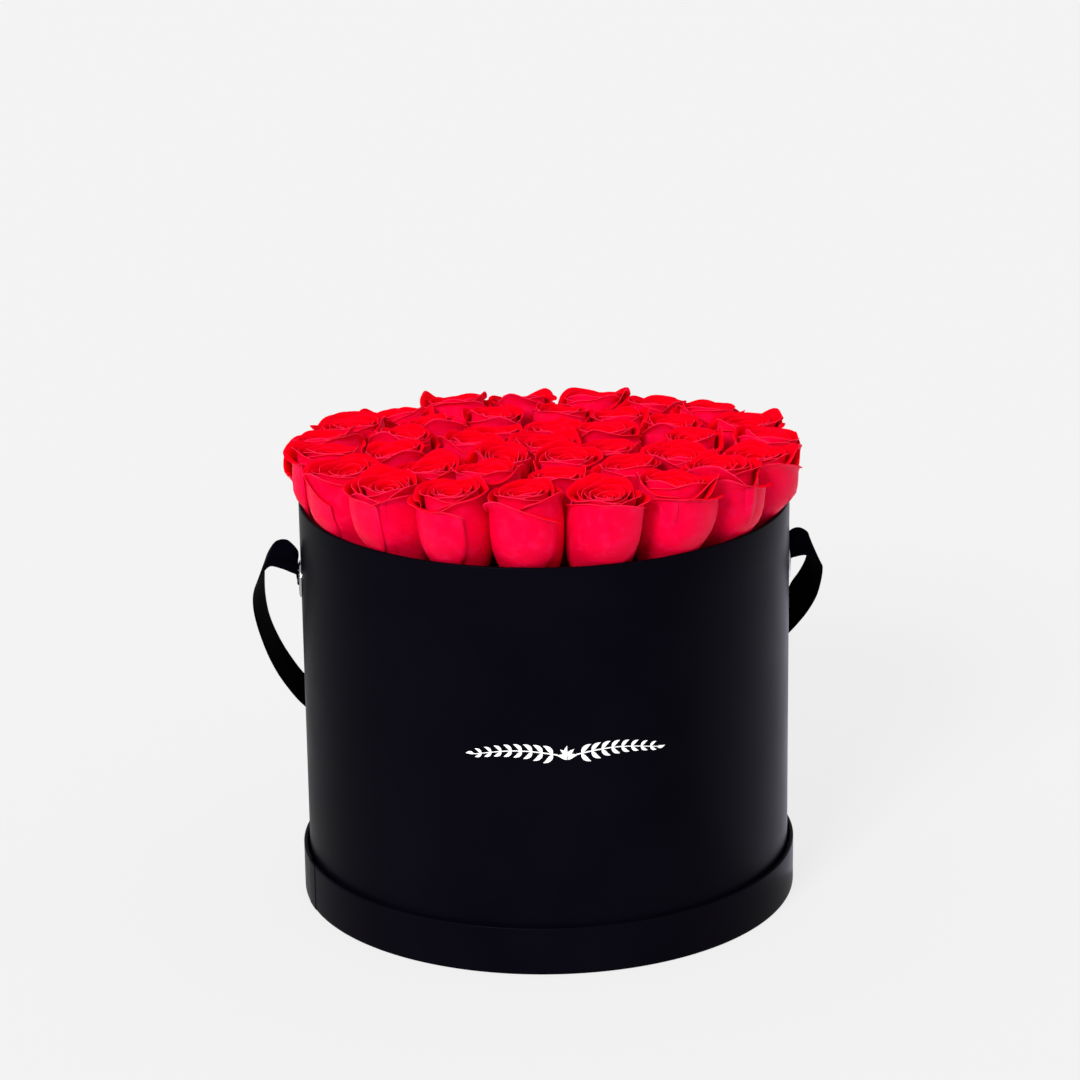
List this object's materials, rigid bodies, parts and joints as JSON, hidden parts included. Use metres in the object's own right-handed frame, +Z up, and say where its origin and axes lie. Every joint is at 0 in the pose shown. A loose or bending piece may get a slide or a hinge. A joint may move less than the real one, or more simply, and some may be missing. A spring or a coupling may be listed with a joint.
{
  "type": "flower box",
  "caption": "Round lidded hat box packed with upright rose heads, standing in its own upturned lid, with a ribbon strap through two side eyelets",
  "frame": {"origin": "centre of the lid's flat outer face, on the table", "axes": "+Z up, -Y front, +X through the right-hand eyelet"},
  "size_m": [0.3547, 0.3076, 0.2961],
  "materials": {
    "grey_board": "matte",
    "cover_paper": "satin",
    "lining_paper": "matte",
    "eyelet_metal": "polished",
    "ribbon": "satin",
    "riser_board": "matte",
    "liner_plastic": "gloss",
    "floral_foam": "matte",
    "stem_green": "satin",
    "print_white": "satin",
    "petals": "satin"
  },
  "bodies": {
    "lid": {"lid_panel": "grey_board", "lid_wall": "grey_board", "lid_wrap": "cover_paper", "lid_panel_paper": "cover_paper", "lid_lining": "lining_paper"},
    "box": {"box_base": "grey_board", "box_wall": "grey_board", "box_wrap": "cover_paper", "box_base_paper": "cover_paper", "box_lining": "lining_paper", "eyelet_left": "eyelet_metal", "eyelet_right": "eyelet_metal", "eyelet_washers": "eyelet_metal", "bowl_riser": "riser_board", "liner_bowl": "liner_plastic", "flower_foam": "floral_foam", "rose_stems": "stem_green", "rose_01": "petals", "rose_02": "petals", "rose_03": "petals", "rose_04": "petals", "rose_05": "petals", "rose_06": "petals", "rose_07": "petals", "rose_08": "petals", "rose_09": "petals", "rose_10": "petals", "rose_11": "petals", "rose_12": "petals", "rose_13": "petals", "rose_14": "petals", "rose_15": "petals", "rose_16": "petals", "rose_17": "petals", "rose_18": "petals", "rose_19": "petals", "rose_20": "petals", "rose_21": "petals", "rose_22": "petals", "rose_23": "petals", "rose_24": "petals", "rose_25": "petals", "rose_26": "petals", "rose_27": "petals", "rose_28": "petals", "rose_29": "petals", "rose_30": "petals", "rose_31": "petals", "rose_32": "petals", "rose_33": "petals", "rose_34": "petals", "rose_35": "petals", "rose_36": "petals", "rose_37": "petals", "rose_38": "petals", "rose_39": "petals", "rose_40": "petals"},
    "strap": {"carry_strap": "ribbon", "strap_knot_left": "ribbon", "strap_knot_right": "ribbon"}
  },
  "joints": [
    {"name": "box_lift", "type": "slide", "parent": "lid", "child": "box", "axis": [0, 0, 1], "range_m": [0, 0.06]},
    {"name": "strap_swing", "type": "hinge", "parent": "box", "child": "strap", "pos_m": [0, 0, 0.203], "axis": [1, 0, 0], "range_deg": [0, 135]}
  ]
}
